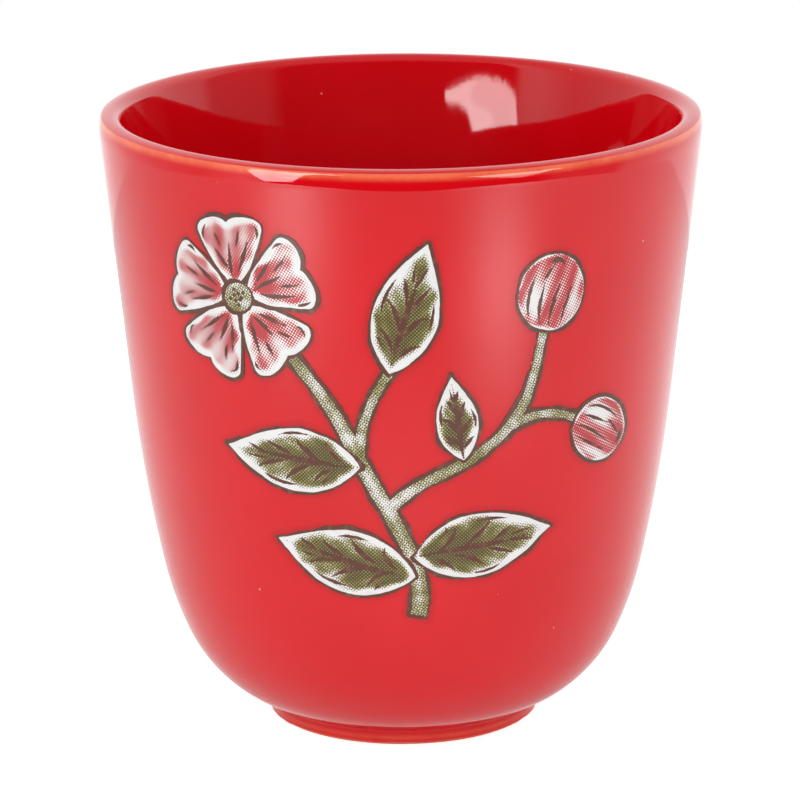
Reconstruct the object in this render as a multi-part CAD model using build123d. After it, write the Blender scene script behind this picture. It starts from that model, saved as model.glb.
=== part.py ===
from build123d import *
from math import asin, atan, cos, degrees, radians, sin
import os

# A handleless glazed ceramic cup: a steep wall that draws in through three tangent arcs to a round
# bottom on a short turned foot ring, and thins on the inside towards a full-round lip. The fired clay
# is bare only under the foot. Red glaze coats it outside and inside, and a printed flower sprig is
# fired onto the outside of the front.
# Lengths are millimetres and angles are degrees. The origin is the middle of the foot's underside, on
# the surface that the cup stands on. +Z is up the cup's axis, and the printed front faces -Y.

# Cup body, measured over the glaze
rim_radius = 45.0
cup_height = 93.15
lip_thickness = 3.5
wall_swell = 1.65  # how much thicker the wall is than the lip
lip_flare_share = 0.66  # part of the straight wall's length that thins towards the lip
wall_draft = 6.0  # of the straight wall, from upright
belly_radius = 240.0
belly_turn = 6.4
hip_radius = 53.4
hip_turn = 11.9
base_radius = 21.5
underside_height = 1.19  # lowest point that the base arc would reach without the foot
floor_thickness = 4.5  # from the recess under the foot to the cup's floor

# Foot ring
foot_radius = 20.4
foot_inner_radius = 16.8
foot_draft = 9.0  # of the foot's inner wall, from upright
cove_radius = 0.6  # glaze pooled where the foot meets the body
recess_depth = 2.0
recess_corner_radius = 1.0
foot_edge_radius = 0.25
bare_height = 0.35  # of clay that is left unglazed above the ground

# Glaze
glaze_thickness = 0.35

# Printed sprig: the space that it takes on the front, laid flat
print_width = 67.0
print_rise = 62.7
print_bottom = 25.5
print_offset = -4.5  # of the sprig's middle from the cup's front
leaf_length = 21.3
leaf_width = 10.3
petal_length = 12.1
petal_width = 12.1
petal_count = 5
petal_first_angle = 98.0
blossom_centre_radius = 2.2
berry_length = 11.2
berry_width = 10.8
outline_width = 0.55
vein_width = 0.9
ground_thickness = 0.08
colour_thickness = 0.06
line_thickness = 0.06

# Places in the sprig, as shares of its width from its middle and of its rise from the bottom
blossom_place_shares = (-0.30, 0.76)
# Stems: four control points, then the widths at both ends
stem_width = 2.5
stem_shares = [
    ([(0.10, 0.00), (0.13, 0.14), (0.02, 0.28), (-0.03, 0.40)], (1.00, 0.86)),
    ([(-0.03, 0.40), (-0.075, 0.508), (-0.12, 0.57), (-0.19, 0.65)], (0.86, 0.68)),
    ([(0.03, 0.26), (0.10, 0.36), (0.22, 0.36), (0.30, 0.46)], (0.73, 0.64)),
    ([(0.30, 0.46), (0.36, 0.53), (0.36, 0.60), (0.385, 0.70)], (0.64, 0.55)),
    ([(0.30, 0.46), (0.36, 0.49), (0.42, 0.485), (0.47, 0.45)], (0.60, 0.55)),
    ([(-0.02, 0.37), (-0.035, 0.46), (0.00, 0.54), (0.045, 0.61)], (0.64, 0.55)),
]
# Leaves: where the stalk end lies, its heading in degrees, and its size as a share of a full leaf
leaf_shares = [
    ((0.095, 0.100), 166, 1.00),
    ((0.090, 0.150), 8, 1.00),
    ((-0.022, 0.372), 176, 0.98),
    ((0.040, 0.600), 74, 0.95),
    ((0.200, 0.385), 98, 0.62),
]
# Berries: middle, heading of the free end in degrees, and size as a share of a full berry
berry_shares = [
    ((0.400, 0.770), 75, 1.00),
    ((0.530, 0.415), -30, 0.90),
]
# Outlines: cubic curves whose points are shares of each form's length and width
leaf_outline_shares = [
    [(0.00, 0.00), (0.10, 0.30), (0.26, 0.52), (0.46, 0.50)],
    [(0.46, 0.50), (0.70, 0.47), (0.86, 0.20), (1.00, 0.00)],
    [(1.00, 0.00), (0.84, -0.16), (0.72, -0.40), (0.50, -0.47)],
    [(0.50, -0.47), (0.30, -0.52), (0.08, -0.28), (0.00, 0.00)],
]
petal_outline_shares = [
    [(0.14, 0.00), (0.22, 0.22), (0.60, 0.37), (0.82, 0.47)],
    [(0.82, 0.47), (1.00, 0.50), (1.06, 0.14), (0.93, 0.02)],
    [(0.93, 0.02), (1.05, -0.14), (0.98, -0.51), (0.80, -0.46)],
    [(0.80, -0.46), (0.60, -0.37), (0.22, -0.22), (0.14, 0.00)],
]
berry_outline_shares = [
    [(-0.50, 0.00), (-0.50, 0.30), (-0.26, 0.50), (0.02, 0.50)],
    [(0.02, 0.50), (0.32, 0.50), (0.52, 0.28), (0.54, 0.00)],
    [(0.54, 0.00), (0.52, -0.28), (0.32, -0.50), (0.02, -0.50)],
    [(0.02, -0.50), (-0.26, -0.50), (-0.50, -0.30), (-0.50, 0.00)],
]
# Colour patches, as shares of the form that they lie on: how far along it they start, and their size
leaf_patch_shares = (0.14, 0.66)
petal_patch_shares = (0.10, 0.78)
berry_patch_shares = (0.06, 0.74)
vein_length_share = 0.62

# Worked out from the sizes above
wall_thickness = lip_thickness + wall_swell
lip_radius = lip_thickness / 2
lip_centre_radius = rim_radius - lip_radius
lip_centre_height = cup_height - lip_radius
belly_end = wall_draft + belly_turn
hip_end = belly_end + hip_turn


def drop(radius, start, end):
    """How far an arc of the wall falls while its tangent turns from start to end, from upright."""
    return radius * (sin(radians(end)) - sin(radians(start)))


def draw_in(radius, start, end):
    """How far the same arc comes in towards the axis."""
    return radius * (cos(radians(start)) - cos(radians(end)))


arcs_drop = (
    drop(belly_radius, wall_draft, belly_end)
    + drop(hip_radius, belly_end, hip_end)
    + drop(base_radius, hip_end, 90)
)
arcs_draw_in = (
    draw_in(belly_radius, wall_draft, belly_end)
    + draw_in(hip_radius, belly_end, hip_end)
    + draw_in(base_radius, hip_end, 90)
)
wall_top_height = lip_centre_height - lip_radius * sin(radians(wall_draft))
wall_top_radius = lip_centre_radius + lip_radius * cos(radians(wall_draft))
wall_length = (wall_top_height - underside_height - arcs_drop) / cos(radians(wall_draft))
base_centre_radius = wall_top_radius - wall_length * sin(radians(wall_draft)) - arcs_draw_in

# The cove touches the base arc from outside and the foot's wall, so both tangents are known
cove_slope = degrees(asin((foot_radius + cove_radius - base_centre_radius) / (base_radius + cove_radius)))
base_turn = 90 - cove_slope - hip_end

# Inside, an arc thins the wall towards the lip, and touches both the lip's round and the straight wall
flare_length = wall_length * lip_flare_share
flare_turn = 2 * degrees(atan(wall_swell / flare_length))
flare_radius = lip_radius + flare_length / sin(radians(flare_turn))

# From there the wall runs parallel to the outside down to the last arc, whose radius suits the floor
floor_height = recess_depth + floor_thickness
hip_foot_height = underside_height + drop(base_radius, hip_end, 90)
inner_hip_foot_height = hip_foot_height + wall_thickness * sin(radians(hip_end))
floor_arc_radius = (inner_hip_foot_height - floor_height) / (1 - sin(radians(hip_end)))


def heading(angle):
    """Direction in the section plane, in degrees from outwards, towards up."""
    return (cos(radians(angle)), sin(radians(angle)))


def outer_line(inset, end_height):
    """The outside from the rim's crest to a height on the foot's wall, a given way in from the glaze."""
    crest = (lip_centre_radius, cup_height - inset)
    lip = JernArc(crest, heading(0), lip_radius - inset, -90 - wall_draft)
    wall = PolarLine(lip @ 1, wall_length, direction=lip % 1)
    belly = JernArc(wall @ 1, wall % 1, belly_radius - inset, -belly_turn)
    hip = JernArc(belly @ 1, belly % 1, hip_radius - inset, -hip_turn)
    base = JernArc(hip @ 1, hip % 1, base_radius - inset, -base_turn)
    cove = JernArc(base @ 1, base % 1, cove_radius + inset, 90 - cove_slope)
    foot = Line(cove @ 1, (foot_radius - inset, end_height))
    return [lip, wall, belly, hip, base, cove, foot]


def inner_line(inset):
    """The inside from the rim's crest to the middle of the floor, a given way in from the glaze."""
    crest = (lip_centre_radius, cup_height - inset)
    lip = JernArc(crest, heading(180), lip_radius - inset, 90 - wall_draft - flare_turn)
    flare = JernArc(lip @ 1, lip % 1, flare_radius - inset, flare_turn)
    wall = PolarLine(flare @ 1, wall_length - flare_length, direction=flare % 1)
    belly = JernArc(wall @ 1, wall % 1, belly_radius - wall_thickness + inset, -belly_turn)
    hip = JernArc(belly @ 1, belly % 1, hip_radius - wall_thickness + inset, -hip_turn)
    floor_arc = JernArc(hip @ 1, hip % 1, floor_arc_radius + inset, hip_end - 90)
    floor = Line(floor_arc @ 1, (0, floor_height - inset))
    return [lip, flare, wall, belly, hip, floor_arc, floor]


def recess_line(inset, end_height):
    """The recess from its middle to a height on the foot's inner wall, a given way in from the glaze."""
    corner_radius = recess_corner_radius + inset
    slope = radians(foot_draft)
    # Level with the ground the glazed wall would stand at foot_inner_radius
    wall_radius = foot_inner_radius + inset / cos(slope)
    corner_height = recess_depth + inset - corner_radius
    corner_x = wall_radius - corner_height * sin(slope) / cos(slope) - corner_radius / cos(slope)
    ceiling = Line((0, recess_depth + inset), (corner_x, recess_depth + inset))
    corner = JernArc(ceiling @ 1, heading(0), corner_radius, foot_draft - 90)
    end_x = wall_radius - end_height * sin(slope) / cos(slope)
    wall = Line(corner @ 1, (end_x, end_height))
    return [ceiling, corner, wall]


def turned(edges):
    """A solid turned about the cup's axis from the section that the edges close."""
    return revolve(Plane.XZ * make_face(edges), Axis.Z)


def coat(outside, inside):
    """A layer turned between two lines that run the same way."""
    cap_start = Line(outside[0] @ 0, inside[0] @ 0)
    cap_end = Line(outside[-1] @ 1, inside[-1] @ 1)
    return turned([*outside, cap_end, *inside, cap_start])


def clay_body():
    """The fired clay with its foot ring, whose underside is bare and rounded at both edges."""
    outside = outer_line(glaze_thickness, foot_edge_radius)
    inside = inner_line(glaze_thickness)
    recess = recess_line(glaze_thickness, foot_edge_radius)
    outer_edge = JernArc(outside[-1] @ 1, heading(-90), foot_edge_radius, -90)
    inner_foot = recess[-1] @ 1 + Vector(foot_edge_radius, -foot_edge_radius)
    inner_edge = RadiusArc(recess[-1] @ 1, inner_foot, foot_edge_radius)
    stand = Line(outer_edge @ 1, inner_edge @ 1)
    axis = Line(recess[0] @ 0, inside[-1] @ 1)
    return turned([*outside, outer_edge, stand, inner_edge, *recess, axis, *inside])


def outer_glaze():
    return coat(outer_line(0, bare_height), outer_line(glaze_thickness, bare_height))


def lining_glaze():
    return turned([
        *inner_line(0),
        Line((0, floor_height), (0, floor_height - glaze_thickness)),
        *inner_line(glaze_thickness),
        Line((lip_centre_radius, cup_height), (lip_centre_radius, cup_height - glaze_thickness)),
    ])


def base_glaze():
    return turned([
        *recess_line(0, bare_height),
        Line(recess_line(0, bare_height)[-1] @ 1, recess_line(glaze_thickness, bare_height)[-1] @ 1),
        *recess_line(glaze_thickness, bare_height),
        Line((0, recess_depth), (0, recess_depth + glaze_thickness)),
    ])


def on_front(across, up):
    """A place in the flat sprig, seen from the front once it is wrapped round the cup."""
    return Vector(rim_radius * sin(across / rim_radius), up)


def sprig_place(shares):
    """Across and up, from shares of the sprig's width and rise."""
    return Vector(print_offset + print_width * shares[0], print_bottom + print_rise * shares[1])


def direction(angle):
    return Vector(cos(radians(angle)), sin(radians(angle)))


def curve_face(curves):
    """A face inside curves and straight lines given by their control points in the flat sprig."""
    return make_face([Bezier(*(on_front(p.X, p.Y) for p in points)) for points in curves])


def form(outline_shares, place, angle, length, width):
    """The face of a leaf, petal or berry of a given size, turned to its heading and placed."""
    along = direction(angle)
    across = direction(angle + 90)
    return curve_face([
        [place + along * (length * x) + across * (width * y) for x, y in points]
        for points in outline_shares
    ])


def stem(shares, width_shares, grow):
    """The face of a tapered stem about a cubic curve, made larger by grow at its start and both sides."""
    route = [sprig_place(share) for share in shares]
    route[0] -= (route[1] - route[0]).normalized() * grow
    start = (route[1] - route[0]).rotate(Axis.Z, 90).normalized()
    end = (route[3] - route[2]).rotate(Axis.Z, 90).normalized()
    first, last = (stem_width * share / 2 + grow for share in width_shares)
    sides = [start * first, start * first, end * last, end * last]
    left = [point + side for point, side in zip(route, sides)]
    right = [point - side for point, side in zip(route, sides)]
    return curve_face([left, [left[3], right[3]], right[::-1], [right[0], left[0]]])


def leaves(grow=0):
    """Place, heading, length and width of each leaf, made larger by grow all round."""
    for place, angle, size in leaf_shares:
        base = sprig_place(place) - direction(angle) * grow
        yield base, angle, leaf_length * size + 2 * grow, leaf_width * size + 2 * grow


def berries(grow=0):
    for place, angle, size in berry_shares:
        yield sprig_place(place), angle, berry_length * size + 2 * grow, berry_width * size + 2 * grow


def petals(grow=0):
    for i in range(petal_count):
        angle = petal_first_angle + 360 * i / petal_count
        yield sprig_place(blossom_place_shares), angle, petal_length + grow, petal_width + 2 * grow


def blossom_centre(grow=0):
    size = 2 * (blossom_centre_radius + grow)
    return form(berry_outline_shares, sprig_place(blossom_place_shares), 0, size, size)


def silhouettes(grow=0):
    """Faces of all the sprig's forms, joined where they overlap, each made larger by grow all round."""
    faces = [stem(route, width_shares, grow) for route, width_shares in stem_shares]
    faces += [form(leaf_outline_shares, *leaf) for leaf in leaves(grow)]
    faces += [form(berry_outline_shares, *berry) for berry in berries(grow)]
    faces += [form(petal_outline_shares, *petal) for petal in petals(grow)]
    return Sketch() + faces + blossom_centre(grow)


def patches(outline_shares, patch_shares, forms):
    """A smaller copy of each form, some way along it."""
    start_share, size_share = patch_shares
    for place, angle, length, width in forms:
        start = place + direction(angle) * (length * start_share)
        yield form(outline_shares, start, angle, length * size_share, width * size_share)


def skin(lift, thickness):
    """A layer on the outside of the cup, lifted off the glaze, over the height that a print can take."""
    low = outer_line(-lift, bare_height)[1:4]
    high = outer_line(-lift - thickness, bare_height)[1:4]
    return coat(low, high)


def printed(faces, lift, thickness):
    """Solids of one print layer: flat faces carried straight back onto the cup's front."""
    layer = skin(lift, thickness)
    solids = []
    for face in faces:
        prism = extrude(Plane.XZ * face, amount=rim_radius + lift + thickness)
        solids += (layer & prism).solids()
    return solids


def print_white_ground():
    return Compound(printed(silhouettes().faces(), 0, ground_thickness))


def print_olive_colour():
    """Shading on the leaves, and the blossom's middle."""
    faces = [*patches(leaf_outline_shares, leaf_patch_shares, leaves()), blossom_centre()]
    return Compound(printed(faces, ground_thickness, colour_thickness))


def print_rose_colour():
    """Shading on the petals and the berries."""
    faces = [
        *patches(petal_outline_shares, petal_patch_shares, petals()),
        *patches(berry_outline_shares, berry_patch_shares, berries()),
    ]
    return Compound(printed(faces, ground_thickness, colour_thickness))


def print_brown_line():
    """Outlines on the glaze round the white ground, and a vein along each leaf over its shading."""
    rings = silhouettes(outline_width) - silhouettes()
    outlines = printed(rings.faces(), 0, ground_thickness + line_thickness)
    faces = []
    for place, angle, length, width in leaves():
        start = place + direction(angle) * (length * leaf_patch_shares[0])
        faces.append(form(leaf_outline_shares, start, angle, length * vein_length_share, vein_width))
    veins = printed(faces, ground_thickness + colour_thickness, line_thickness)
    return Compound(outlines + veins)


pieces = [
    clay_body,
    outer_glaze,
    lining_glaze,
    base_glaze,
    print_white_ground,
    print_olive_colour,
    print_rose_colour,
    print_brown_line,
]
os.makedirs("parts", exist_ok=True)
for piece in pieces:
    export_step(piece(), f"parts/{piece.__name__}.step")
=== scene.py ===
import math

import bpy
import numpy as np
from mathutils import Matrix, Vector


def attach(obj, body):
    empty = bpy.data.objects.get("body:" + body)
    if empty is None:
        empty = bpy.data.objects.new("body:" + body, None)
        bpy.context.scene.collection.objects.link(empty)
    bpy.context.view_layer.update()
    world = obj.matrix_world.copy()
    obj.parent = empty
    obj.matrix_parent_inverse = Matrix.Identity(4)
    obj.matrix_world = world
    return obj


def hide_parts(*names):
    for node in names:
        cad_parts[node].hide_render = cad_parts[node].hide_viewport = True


# A handleless red glazed cup with a printed sprig on its front. Lengths are metres, angles degrees.
# The sprig is drawn flat, as places across and up the front, and then wrapped round the cup.

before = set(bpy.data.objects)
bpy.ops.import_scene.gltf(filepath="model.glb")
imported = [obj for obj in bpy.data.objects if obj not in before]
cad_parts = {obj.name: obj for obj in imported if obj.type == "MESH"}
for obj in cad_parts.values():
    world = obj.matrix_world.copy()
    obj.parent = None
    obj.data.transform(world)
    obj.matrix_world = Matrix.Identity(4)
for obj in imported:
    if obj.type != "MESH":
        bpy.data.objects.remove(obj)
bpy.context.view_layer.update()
mm = 0.001

# Cup body, as in the part's source
rim_radius = 45 * mm
cup_height = 93.15 * mm
lip_thickness = 3.5 * mm
wall_swell = 1.65 * mm
lip_flare_share = 0.66
wall_draft = 6.0
belly_radius = 240 * mm
belly_turn = 6.4
hip_radius = 53.4 * mm
hip_turn = 11.9
base_radius = 21.5 * mm
underside_height = 1.19 * mm
floor_thickness = 4.5 * mm
foot_radius = 20.4 * mm
foot_inner_radius = 16.8 * mm
foot_draft = 9.0
cove_radius = 0.6 * mm
recess_depth = 2 * mm
recess_corner_radius = 1 * mm
bare_height = 0.35 * mm
glaze_thickness = 0.35 * mm

# Worked out from them
wall_thickness = lip_thickness + wall_swell
lip_radius = lip_thickness / 2
lip_centre_radius = rim_radius - lip_radius
lip_centre_height = cup_height - lip_radius
belly_end = wall_draft + belly_turn
hip_end = belly_end + hip_turn
floor_height = recess_depth + floor_thickness

# The fired lip is a little squarer outside than its true half round: a crown, a tight edge, a long shoulder
crown_radius = 2.8 * mm
crown_turn = 25.0
shoulder_radius = 7.2 * mm
shoulder_turn = 19.5

# Turned meshes
around_steps = 432
row_spacing = 0.5 * mm
hidden_row_spacing = 3 * mm
lip_steps = 44
hidden_lip_steps = 12
wobble_depth = 0.05 * mm  # how far the fired wall strays inwards from true
drip_depth = 0.1 * mm  # how unevenly the glaze ends above the foot's edge
drip_fade = 1.2 * mm  # the height over which the hidden side takes that up
thin_start = (1.1, 1.9)  # where the lip's thin glaze starts, as shares of the edge's fall from the crest
thin_end = (0.45 * mm, 1.75 * mm)  # where it ends, below the crest
coat_end = (0.52 * mm, 0.36 * mm)  # heights between which the outer coat thins
recess_coat_end = (1 * mm, 0.3 * mm)
# How strongly a band along the cove is tinted towards thin glaze's orange: a painted highlight
painted_cove_highlight = 0.35
bake_split, bake_strip = 0.95, 0.96  # where the bake's map ends for what is seen, and starts for the rest

# Print
print_width = 67.0
print_rise = 62.7
print_bottom = 25.5
print_offset = -4.5
stem_width = 2.5
leaf_size = (21.3, 10.3)
petal_size = (12.1, 12.1)
petal_count = 5
petal_first_angle = 98.0
blossom_centre_radius = 2.2
berry_size = (11.2, 10.8)
outline_width = 0.55
cell = 0.1  # spacing of the grid that the print is drawn on, in millimetres like the print's own sizes
print_margin = 3.0
film_reach = (0.5, 1.5)  # where the film round the print fades
ground_lift = (-0.05 * mm, 0.045 * mm)
colour_lift = (0 * mm, 0.06 * mm)
ink_lift = (-0.05 * mm, 0.085 * mm)
crossing_margin = 0.08  # how near a mesh edge comes to a grid point, as a share of the spacing

blossom_place_shares = (-0.3, 0.76)
stem_shares = [
    ([(0.1, 0), (0.13, 0.14), (0.02, 0.28), (-0.03, 0.4)], (1, 0.86)),
    ([(-0.03, 0.4), (-0.075, 0.508), (-0.12, 0.57), (-0.19, 0.65)], (0.86, 0.68)),
    ([(0.03, 0.26), (0.1, 0.36), (0.22, 0.36), (0.3, 0.46)], (0.73, 0.64)),
    ([(0.3, 0.46), (0.36, 0.53), (0.36, 0.6), (0.385, 0.7)], (0.64, 0.55)),
    ([(0.3, 0.46), (0.36, 0.49), (0.42, 0.485), (0.47, 0.45)], (0.6, 0.55)),
    ([(-0.02, 0.37), (-0.035, 0.46), (0, 0.54), (0.045, 0.61)], (0.64, 0.55)),
]
leaf_shares = [
    ((0.095, 0.1), 166, 1),
    ((0.09, 0.15), 8, 1),
    ((-0.022, 0.372), 176, 0.98),
    ((0.04, 0.6), 74, 0.95),
    ((0.2, 0.385), 98, 0.62),
]
berry_shares = [
    ((0.4, 0.77), 75, 1),
    ((0.53, 0.415), -30, 0.9),
]
# Outlines: closed chains of control points, of which every third is on the line
leaf_outline_shares = [
    (0, 0), (0.1, 0.3), (0.26, 0.52), (0.46, 0.5), (0.7, 0.47), (0.86, 0.2),
    (1, 0), (0.84, -0.16), (0.72, -0.4), (0.5, -0.47), (0.3, -0.52), (0.08, -0.28),
]
petal_outline_shares = [
    (0.14, 0), (0.22, 0.22), (0.6, 0.37), (0.82, 0.47), (1, 0.5), (1.06, 0.14),
    (0.93, 0.02), (1.05, -0.14), (0.98, -0.51), (0.8, -0.46), (0.6, -0.37), (0.22, -0.22),
]
berry_outline_shares = [
    (-0.5, 0), (-0.5, 0.3), (-0.26, 0.5), (0.02, 0.5), (0.32, 0.5), (0.52, 0.28),
    (0.54, 0), (0.52, -0.28), (0.32, -0.5), (0.02, -0.5), (-0.26, -0.5), (-0.5, -0.3),
]
# Ink strokes: four control points as shares of the form's length and width, and the widest width
leaf_stroke_shares = [
    ((0.02, 0), (0.3, 0.05), (0.62, -0.05), (0.92, 0.01), 0.95),
    ((0.17, 0.04), (0.25, 0.12), (0.3, 0.24), (0.33, 0.37), 0.62),
    ((0.34, 0.04), (0.43, 0.11), (0.5, 0.21), (0.54, 0.35), 0.78),
    ((0.52, 0.03), (0.62, 0.08), (0.69, 0.15), (0.74, 0.24), 0.6),
    ((0.12, -0.04), (0.2, -0.13), (0.25, -0.22), (0.28, -0.36), 0.66),
    ((0.29, -0.04), (0.38, -0.12), (0.45, -0.22), (0.48, -0.34), 0.82),
    ((0.48, -0.04), (0.57, -0.09), (0.65, -0.15), (0.7, -0.23), 0.64),
    ((0.66, -0.02), (0.73, -0.04), (0.79, -0.07), (0.84, -0.12), 0.46),
    ((0.42, 0.38), (0.52, 0.41), (0.62, 0.36), (0.7, 0.29), 0.5),
    ((0.36, -0.38), (0.45, -0.41), (0.54, -0.38), (0.61, -0.31), 0.46),
    ((0.2, 0.2), (0.23, 0.26), (0.25, 0.31), (0.25, 0.37), 0.42),
    ((0.68, 0.05), (0.74, 0.07), (0.79, 0.08), (0.85, 0.07), 0.4),
]
petal_stroke_shares = [
    ((0.28, 0.01), (0.42, 0.05), (0.54, 0.01), (0.7, 0.05), 0.66),
    ((0.31, 0.07), (0.44, 0.16), (0.54, 0.19), (0.7, 0.29), 0.6),
    ((0.3, -0.06), (0.44, -0.14), (0.58, -0.18), (0.72, -0.27), 0.62),
    ((0.6, 0.13), (0.69, 0.16), (0.77, 0.19), (0.85, 0.27), 0.46),
    ((0.58, -0.06), (0.68, -0.09), (0.76, -0.12), (0.85, -0.13), 0.48),
    ((0.72, 0.36), (0.78, 0.4), (0.84, 0.4), (0.9, 0.34), 0.44),
    ((0.7, -0.36), (0.76, -0.4), (0.82, -0.41), (0.88, -0.36), 0.4),
]
berry_stroke_shares = [
    ((-0.38, 0.22), (-0.2, 0.38), (0.1, 0.34), (0.36, 0.24), 0.52),
    ((-0.46, 0.06), (-0.24, 0.18), (-0.02, 0.12), (0.14, 0.16), 0.56),
    ((0.1, 0.17), (0.22, 0.16), (0.32, 0.08), (0.43, 0.05), 0.5),
    ((-0.46, -0.09), (-0.24, -0.02), (0.06, -0.1), (0.42, -0.12), 0.54),
    ((-0.4, -0.24), (-0.18, -0.22), (0.06, -0.29), (0.34, -0.28), 0.46),
    ((0.4, 0.12), (0.47, 0.06), (0.48, -0.04), (0.42, -0.11), 0.8),
]


def sin(angle):
    return math.sin(math.radians(angle))


def cos(angle):
    return math.cos(math.radians(angle))


def tan(angle):
    return math.tan(math.radians(angle))


def drop(radius, start, end):
    """How far an arc of the wall falls while its tangent turns from start to end, from upright."""
    return radius * (sin(end) - sin(start))


def draw_in(radius, start, end):
    """How far the same arc comes in towards the axis."""
    return radius * (cos(start) - cos(end))


wall_arcs = [
    (belly_radius, wall_draft, belly_end), (hip_radius, belly_end, hip_end), (base_radius, hip_end, 90),
]
wall_top_height = lip_centre_height - lip_radius * sin(wall_draft)
wall_top_radius = lip_centre_radius + lip_radius * cos(wall_draft)
wall_fall = wall_top_height - underside_height - sum(drop(*arc) for arc in wall_arcs)
wall_length = wall_fall / cos(wall_draft)
base_centre_radius = wall_top_radius - wall_length * sin(wall_draft) - sum(draw_in(*arc) for arc in wall_arcs)
cove_reach = foot_radius + cove_radius - base_centre_radius
cove_slope = math.degrees(math.asin(cove_reach / (base_radius + cove_radius)))
base_turn = 90 - cove_slope - hip_end
flare_length = wall_length * lip_flare_share
flare_turn = 2 * math.degrees(math.atan(wall_swell / flare_length))
flare_radius = lip_radius + flare_length / sin(flare_turn)
inner_hip_foot_height = underside_height + drop(base_radius, hip_end, 90) + wall_thickness * sin(hip_end)
floor_arc_radius = (inner_hip_foot_height - floor_height) / (1 - sin(hip_end))


def reach(start, end, way):
    """How far an arc of radius 1 gets along a heading, way, while its own heading falls from start to end."""
    return sin(start - way) - sin(end - way)


wall_heading = -90 - wall_draft
edge_start = -crown_turn
edge_end = wall_heading + shoulder_turn
edge_radius = (
    lip_radius * reach(0, wall_heading, -wall_draft)
    - crown_radius * reach(0, edge_start, -wall_draft)
    - shoulder_radius * reach(edge_end, wall_heading, -wall_draft)
) / reach(edge_start, edge_end, -wall_draft)
shoulder_cut = (
    crown_radius * reach(0, edge_start, wall_heading)
    + edge_radius * reach(edge_start, edge_end, wall_heading)
    + shoulder_radius * reach(edge_end, wall_heading, wall_heading)
    - lip_radius * reach(0, wall_heading, wall_heading)
)


def smoothstep(low, high, value):
    share = np.clip((value - low) / (high - low), 0, 1)
    return share * share * (3 - 2 * share)


# Sections: lines of arcs and straights that touch, as radii and heights
class Section:
    def __init__(self, radius, height, heading):
        self.points = [(radius, height)]
        self.heading = heading

    def straight(self, length, spacing=row_spacing):
        steps = max(1, math.ceil(length / spacing))
        radius, height = self.points[-1]
        across, up = cos(self.heading), sin(self.heading)
        for i in range(1, steps + 1):
            self.points.append((radius + across * length * i / steps, height + up * length * i / steps))
        return self

    def arc(self, radius, turn, spacing=row_spacing, steps=None, ease=1):
        """A touching arc; ease above 1 crowds its first points."""
        steps = steps or max(4, math.ceil(radius * math.radians(abs(turn)) / spacing))
        bend, start = math.copysign(radius, turn), math.radians(self.heading)
        across, up = self.points[-1][0] - bend * math.sin(start), self.points[-1][1] + bend * math.cos(start)
        for i in range(1, steps + 1):
            angle = start + math.radians(turn) * (i / steps) ** ease
            self.points.append((across + bend * math.sin(angle), up - bend * math.cos(angle)))
        self.heading += turn
        return self

    def array(self):
        return np.array(self.points)


def outer_section(inset, end_height, spacing=row_spacing, steps=lip_steps, squarer=False):
    """The outside, from the rim's crest to a height on the foot's wall."""
    line = Section(lip_centre_radius, cup_height - inset, 0)
    if squarer:
        line.arc(crown_radius, -crown_turn, steps=16)
        line.arc(edge_radius, edge_end - edge_start, steps=22)
        line.arc(shoulder_radius, -shoulder_turn, steps=22)
        line.straight(wall_length - shoulder_cut, spacing)
    else:
        line.arc(lip_radius - inset, wall_heading, steps=steps, ease=1.5)
        line.straight(wall_length, spacing)
    line.arc(belly_radius - inset, -belly_turn, spacing)
    line.arc(hip_radius - inset, -hip_turn, spacing)
    line.arc(base_radius - inset, -base_turn, spacing)
    line.arc(cove_radius + inset, 90 - cove_slope, spacing, steps=18)
    line.straight(line.points[-1][1] - end_height, spacing / 2)
    return line.array()


def inner_section(inset, spacing=row_spacing, steps=lip_steps):
    """The inside, from the rim's crest to the middle of the floor."""
    line = Section(lip_centre_radius, cup_height - inset, 180)
    line.arc(lip_radius - inset, 90 - wall_draft - flare_turn, steps=steps, ease=1.5)
    line.arc(flare_radius - inset, flare_turn, spacing)
    line.straight(wall_length - flare_length, spacing)
    line.arc(belly_radius - wall_thickness + inset, -belly_turn, spacing)
    line.arc(hip_radius - wall_thickness + inset, -hip_turn, spacing)
    line.arc(floor_arc_radius + inset, hip_end - 90, spacing)
    line.straight(line.points[-1][0], spacing)
    points = line.array()
    points[-1, 0] = 0
    return points


def recess_section(inset, end_height, spacing=row_spacing):
    """The recess under the foot, from its middle to a height on the foot's inner wall."""
    corner_radius = recess_corner_radius + inset
    wall_radius = foot_inner_radius + inset / cos(foot_draft)
    corner_height = recess_depth + inset - corner_radius
    corner_x = wall_radius - corner_height * tan(foot_draft) - corner_radius / cos(foot_draft)
    line = Section(0, recess_depth + inset, 0)
    line.straight(corner_x, spacing)
    line.arc(corner_radius, foot_draft - 90, spacing)
    line.straight((line.points[-1][1] - end_height) / cos(foot_draft), spacing / 2)
    return line.array()


# Waves round the axis: each one's share, number, start and twist over the height
wobble_waves = [
    (0.34, 2, 0.7, 18), (0.26, 3, -1.9, -44), (0.2, 5, 2.4, 95),
    (0.12, 9, -0.4, 160), (0.08, 15, 1.1, -240),
]
drip_waves = [(0.45, 7, 0.5, 0), (0.3, 16, 2.1, 0), (0.25, 37, -1.3, 0)]


def sum_of(waves, angle, height=0):
    return sum(share * np.sin(count * angle + start + twist * height) for share, count, start, twist in waves)


def wobble(angle, height):
    """How far inwards the fired wall strays, as a share of its radius."""
    return (0.5 + 0.5 * sum_of(wobble_waves, angle, height)) * wobble_depth / rim_radius


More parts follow.
